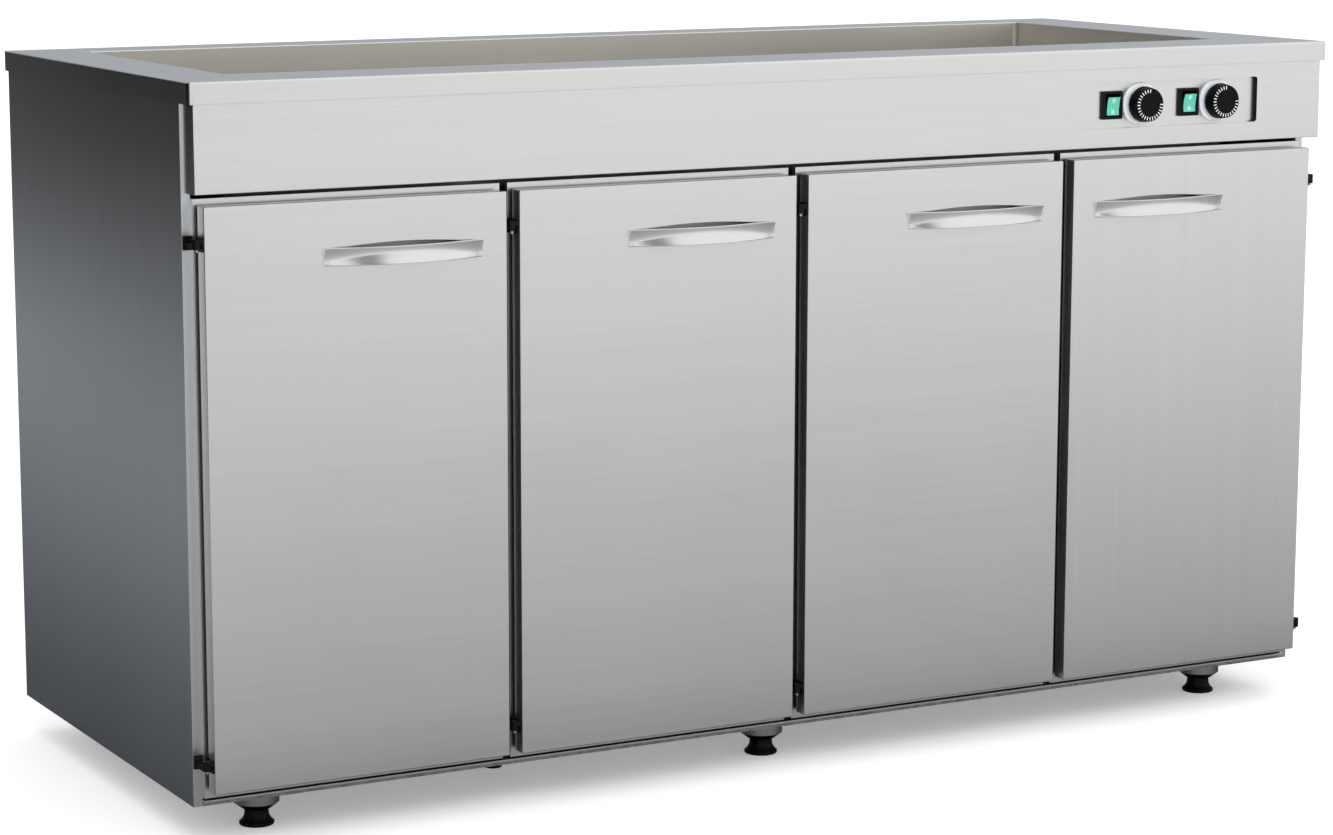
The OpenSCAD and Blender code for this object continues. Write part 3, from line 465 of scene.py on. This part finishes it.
# Radius of the fold round a sheet's front face, and how far in from its outline the folds lie
border, anywhere = 1.5 * mm, 1.0
folds = {
    "apron": (1.0 * mm, border),
    "base_tray": (0.3 * mm, anywhere),
    "switch_cases": (0.8 * mm, anywhere),
}
folds.update({f"door_skin_{k}": (1.0 * mm, border) for k in doors})
folds.update({f"compartment_{k}": (0.35 * mm, anywhere) for k in doors})
flat_sheets = ["control_plate", "worktop", "well", "back_panel", "base_tray"]
flat_sheets += [f"compartment_{k}" for k in doors] + [f"door_liner_{k}" for k in doors]


def refined(node):
    """Replace a CAD shape by one with its folds rounded and its bends and round parts smooth."""
    mesh = merged(node)
    low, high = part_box(node)
    if node in folds:
        round_front(mesh, low, high, *folds[node])
    if node == "worktop":
        round_worktop(mesh, low, high)
    if node.startswith("side_panel"):
        tighten_fold(mesh, low, high, -1 if node.endswith("left") else 1)
    if node.startswith("hinge"):
        slim_hinge(mesh)
    slot = slot_of[node]
    crisp = sheet_angle if node in flat_sheets else crisp_angle
    piece = new_piece(node + "_finished", mesh, body_of[node], finish_of(node, slot), crisp)
    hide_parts(node)


# Inner pieces and the door seals keep their CAD shape, and the handles are made anew further down
left_plain = ("well_lagging", "well_casing", "control_box", "terminal_block", "thermostats", "base_frame")
for node in slot_of:
    if node not in left_plain and not node.startswith(("handle_", "door_seal_")):
        refined(node)


def arc_height(x, width, rise):
    """Height of an arc over its chord, at x from the middle."""
    radius = (width * width / 4 + rise * rise) / (2 * rise)
    return max(math.sqrt(max(radius * radius - x * x, 0)) - radius + rise, 0)


def handle_strip(k):
    """A strip bowed out of the door, further at its lower edge.

    Its face is hollow towards the upper edge, which stands forward like a lip.
    """
    foot, thick = 4 * mm, 1.6 * mm
    rise_top, rise_low = 11.4 * mm, 18.4 * mm
    lip, lip_share = 4.3 * mm, 0.72
    slices, rows = 64, 14
    low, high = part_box(f"handle_{k}")
    middle, half, tall = (low.x + high.x) / 2, (high.x - low.x) / 2, high.z - low.z
    arc = half - foot
    stations = [-half] + [-arc + 2 * arc * i / slices for i in range(slices + 1)] + [half]
    # Shares of the face from its upper edge to its lower one, and how far each edge is drawn in
    steps = [0, 0.015, 0.04] + [0.04 + 0.92 * i / rows for i in range(1, rows + 1)] + [0.985, 1]
    softened = {0: 0.7 * mm, 1: 0.25 * mm, len(steps) - 2: 0.15 * mm, len(steps) - 1: 0.5 * mm}
    rings = []
    for x in stations:
        top, bottom = (arc_height(x, 2 * arc, rise) for rise in (rise_top, rise_low))
        ring = []
        for i, t in enumerate(steps):
            hollow = lip * max(1 - t / lip_share, 0) ** 2
            out = top * (1 - t) + bottom * t + thick + hollow - softened.get(i, 0)
            ring.append((middle + x, high.y - out, high.z - tall * t))
        ring += [(middle + x, high.y - bottom, low.z), (middle + x, high.y - top, high.z)]
        rings.append(ring)
    piece = new_piece(f"handle_strip_{k}", swept(rings), f"door_{k}", polished)
    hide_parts(f"handle_{k}")


for k in doors:
    handle_strip(k)


def rocker_lens(k):
    """The front of a rocker as a green lens, a little smaller and proud of the black part."""
    width_share, height_share, proud, depth = 0.9, 0.92, 0.5 * mm, 4 * mm
    node = f"rocker_{k}"
    low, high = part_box(node)
    middle = (low + high) / 2
    mesh = merged(node)
    for vertex in mesh.verts:
        at = vertex.co - middle
        vertex.co = middle + Vector((at.x * width_share, at.y - proud, at.z * height_share))
    bmesh.ops.delete(mesh, geom=[v for v in mesh.verts if v.co.y > middle.y + depth], context="VERTS")
    new_piece(f"rocker_lens_{k}", mesh, node, lenses[k])


for k in controls:
    rocker_lens(k)


def control_shadow_bead():
    """A black bead down the right end of the control recess, hooked at its corners: painted shade, a dark
    strip where the recess's end lies in shadow.
    """
    flange, radius, hook = 8 * mm, 4 * mm, 3 * mm
    clearance, thick = 0.05 * mm, 0.5 * mm
    front_in, rear_in = 0.4 * mm, 1.3 * mm
    low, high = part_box("control_plate")
    top, bottom, middle = high.z - flange, low.z + flange, high.x - flange - radius
    front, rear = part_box("apron")[0].y + front_in, high.y - rear_in

    def path(inset):
        """The recess's corners and right end, drawn in by the inset, from the top down."""
        r = radius - inset
        turn = [math.radians(90 - a) for a in range(0, 91, 15)]
        upper = [(middle + r * math.cos(a), top - radius + r * math.sin(a)) for a in turn]
        lower = [(x, bottom + radius - (z - (top - radius))) for x, z in reversed(upper)]
        return [(middle - hook, top - inset)] + upper + lower + [(middle - hook, bottom + inset)]

    rings = [((x, front, z), (x, rear, z), (inner_x, rear, inner_z), (inner_x, front, inner_z))
             for (x, z), (inner_x, inner_z) in zip(path(clearance), path(thick))]
    # Painted shade: the black rubber stands in for the shadow at the recess's right end
    new_piece("control_shadow_bead", swept(rings), "counter", finishes["seal_rubber"])


control_shadow_bead()


def tick_tree():
    """Marks in a ring, from twelve o'clock round by nine and six."""
    tree = bpy.data.node_groups.new("tick_ring", "GeometryNodeTree")
    tree.interface.new_socket("Geometry", in_out="OUTPUT", socket_type="NodeSocketGeometry")
    for name, kind in (("Count", "Int"), ("Radius", "Float"), ("Length", "Float"), ("Width", "Float"),
                       ("Height", "Float"), ("Sweep", "Float"), ("Material", "Material")):
        tree.interface.new_socket(name, in_out="INPUT", socket_type=f"NodeSocket{kind}")
    g = Graph(tree)
    given = tree.nodes.new("NodeGroupInput")
    size = {s.name: Value(g, s) for s in given.outputs if s.name}
    line = g.node("GeometryNodeMeshLine", sockets={"Count": size["Count"], "Offset": (0, 0, 0)})
    step = g.maths("DIVIDE", size["Sweep"], size["Count"] - 1)
    angle = g.node("GeometryNodeInputIndex") * step
    across = 0 - g.maths("SINE", angle) * size["Radius"]
    up = g.maths("COSINE", angle) * size["Radius"]
    spot = g.node("ShaderNodeCombineXYZ", sockets={X: across, Z: up})
    placed = g.node("GeometryNodeSetPosition", sockets={"Geometry": line, "Position": spot})
    block = g.node("ShaderNodeCombineXYZ", sockets={X: size["Width"], Y: size["Height"], Z: size["Length"]})
    mark = g.node("GeometryNodeMeshCube", sockets={"Size": block})
    turn = g.node("ShaderNodeCombineXYZ", sockets={Y: 0 - angle})
    sockets = {"Points": placed, "Instance": mark, "Rotation": turn}
    marks = g.node("GeometryNodeInstanceOnPoints", sockets=sockets)
    solid = g.node("GeometryNodeRealizeInstances", sockets={0: marks})
    coated = g.node("GeometryNodeSetMaterial", sockets={"Geometry": solid, "Material": size["Material"]})
    g.node("NodeGroupOutput", sockets={0: coated})
    return tree


def grown(name, tree, inputs):
    """A piece with the plain mesh that a geometry tree makes from these inputs."""
    maker = bpy.data.objects.new(name + "_maker", bpy.data.meshes.new(name + "_start"))
    bpy.context.scene.collection.objects.link(maker)
    modifier = maker.modifiers.new("maker", "NODES")
    modifier.node_group = tree
    for item in tree.interface.items_tree:
        if item.name in inputs:
            modifier[item.identifier] = inputs[item.name]
    evaluated = maker.evaluated_get(bpy.context.evaluated_depsgraph_get())
    mesh = bpy.data.meshes.new_from_object(evaluated)
    bpy.data.objects.remove(maker)
    mesh.name = name
    piece = bpy.data.objects.new(name, mesh)
    bpy.context.scene.collection.objects.link(piece)
    return piece


marks_tree = tick_tree()
mark_inputs = {
    "Count": 22,
    "Radius": 17.9 * mm,
    "Length": 4.4 * mm,
    "Width": 1.2 * mm,
    "Height": 0.3 * mm,
    "Sweep": math.radians(270),
    "Material": moulded("mark_paint", tint(214, 216, 218), tint(240, 240, 240), 0.5),
}


def knob_marks(k):
    low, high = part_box(f"knob_{k}")
    piece = grown(f"knob_marks_{k}", marks_tree, mark_inputs)
    piece.data.transform(Matrix.Translation(((low.x + high.x) / 2, low.y, (low.z + high.z) / 2)))
    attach(piece, f"knob_{k}")


for k in controls:
    knob_marks(k)


# Stage: a pale floor, a white room, soft lamps, and cards that only reflections see
def plane(name, a, b):
    """A rectangle between two opposite corners that have one coordinate in common."""
    u, v = (axis for axis in (X, Y, Z) if a[axis] != b[axis])
    corners = []
    for end_u, end_v in ((a, a), (b, a), (b, b), (a, b)):
        corner = Vector(a)
        corner[u], corner[v] = end_u[u], end_v[v]
        corners.append(corner)
    mesh = bpy.data.meshes.new(name)
    mesh.from_pydata(corners, [], [(0, 1, 2, 3)])
    piece = bpy.data.objects.new(name, mesh)
    bpy.context.scene.collection.objects.link(piece)
    return piece


def floor():
    """Pale paint. The camera sees it lit up to white, with the object's shadow kept."""
    piece = plane("floor", (-20, -20, 0), (20, 20, 0))
    f = Finish("floor_paint")
    base = f.blend(f.clouds(1.5, detail=3.0), grey(0.9), grey(0.93))
    seen = f.node("ShaderNodeLightPath", out="Is Camera Ray")
    lift = f.blend(seen, grey(0.0), grey(0.3))
    set_material(piece, f.done(Base_Color=base, Roughness=0.9, Emission_Color=lift, Emission_Strength=1.0))


def card(name, low, high, axis, stops, strength=1.0):
    """A studio card with its own soft shading along one axis, seen in reflections alone."""
    piece = plane(name, low, high)
    f = Finish(name + "_shade")
    sockets = {"Value": f.part(f.place, axis), "From Min": low[axis], "From Max": high[axis]}
    shade = f.ramp(f.node("ShaderNodeMapRange", sockets=sockets), *stops)
    glow = f.node("ShaderNodeEmission", sockets={"Color": shade, "Strength": strength})
    f.node("ShaderNodeOutputMaterial", sockets={"Surface": glow})
    set_material(piece, f.material)
    for ray in ("camera", "diffuse", "transmission", "volume_scatter", "shadow"):
        setattr(piece, "visible_" + ray, False)


def room():
    world = bpy.data.worlds.new("studio")
    bpy.context.scene.world = world
    world.use_nodes = True
    world.node_tree.nodes.clear()
    g = Graph(world.node_tree)
    back = g.node("ShaderNodeBackground", sockets={"Color": grey(1.0), "Strength": 1.0})
    g.node("ShaderNodeOutputWorld", sockets={"Surface": back})


def lamp(name, spot, size, power):
    """A soft round lamp, aimed at the counter and kept out of its reflections."""
    aim = Vector((0, 0, 0.4))
    light = bpy.data.lights.new(name, "AREA")
    light.shape = "DISK"
    light.size = size
    light.energy = power
    piece = bpy.data.objects.new(name, light)
    piece.location = spot
    piece.rotation_euler = (aim - Vector(spot)).to_track_quat("-Z", "Y").to_euler()
    piece.visible_glossy = False
    bpy.context.scene.collection.objects.link(piece)


def camera():
    """The photo's camera, solved from the counter's edges and corners."""
    data = bpy.data.cameras.new("camera")
    data.sensor_fit = "HORIZONTAL"
    data.sensor_width = 36
    data.lens = 94.058
    data.shift_x = 0.04523
    data.shift_y = 0.00214
    data.clip_end = 100
    piece = bpy.data.objects.new("camera", data)
    piece.location = (-2.19071, -3.96163, 1.16718)
    piece.rotation_euler = Euler([math.radians(a) for a in (80.3622, 0.0625, -27.7376)])
    bpy.context.scene.collection.objects.link(piece)
    bpy.context.scene.camera = piece


floor()
room()
camera()
# Where the cards on the floor end: just beside the counter, just before it, and under its back
beside, before, under_back = -0.81, -0.345, 0.33
sky = tint(166, 171, 178)
card("floor_card", (-2, -9, 0.003), (8, before, 0.003), Y,
     [(0.0, grey(0.95)), (0.45, grey(0.68)), (0.75, grey(0.44)), (0.92, grey(0.33)),
      (0.965, grey(0.29)), (1.0, grey(0.1))], strength=1.28)
card("left_card", (-1.3, -0.8, 0.0), (-1.3, 3.2, 2.6), Z,
     [(0.0, cool(0.2)), (0.04, cool(0.27)), (0.1, cool(0.33)), (0.16, cool(0.21)), (0.21, grey(0.08)),
      (0.26, grey(0.01)), (0.34, grey(0.0)), (1.0, grey(0.0))])
card("left_floor_card", (-1.3, -0.32, 0.004), (beside, 3.2, 0.004), X,
     [(0.0, cool(0.14)), (1.0, cool(0.06))])
card("under_card", (beside, before, 0.003), (2.6, under_back, 0.003), Y,
     [(0.0, grey(0.06)), (1.0, grey(0.03))])
card("right_card", (1.3, -0.3, 0.0), (1.3, 3.2, 0.9), Z,
     [(0.0, cool(0.2)), (0.3, cool(0.33)), (0.7, cool(0.45)), (1.0, cool(0.6))])
card("back_card", (-1.2, 3.2, 0.3), (7, 3.2, 3.6), Z,
     [(0.0, sky), (1.0, sky)])
card("front_card", (-2.4, -6.5, 0.4), (1.6, -6.5, 4.4), X,
     [(0.25, grey(1.0)), (0.42, grey(0.22)), (0.7, grey(0.22)), (0.86, grey(1.0))])
lamp("key", (-1.5, -3.5, 3.6), size=2.5, power=50)
lamp("fill", (3.0, -3.0, 2.6), size=2.0, power=25)

bpy.context.scene.view_settings.view_transform = "Standard"
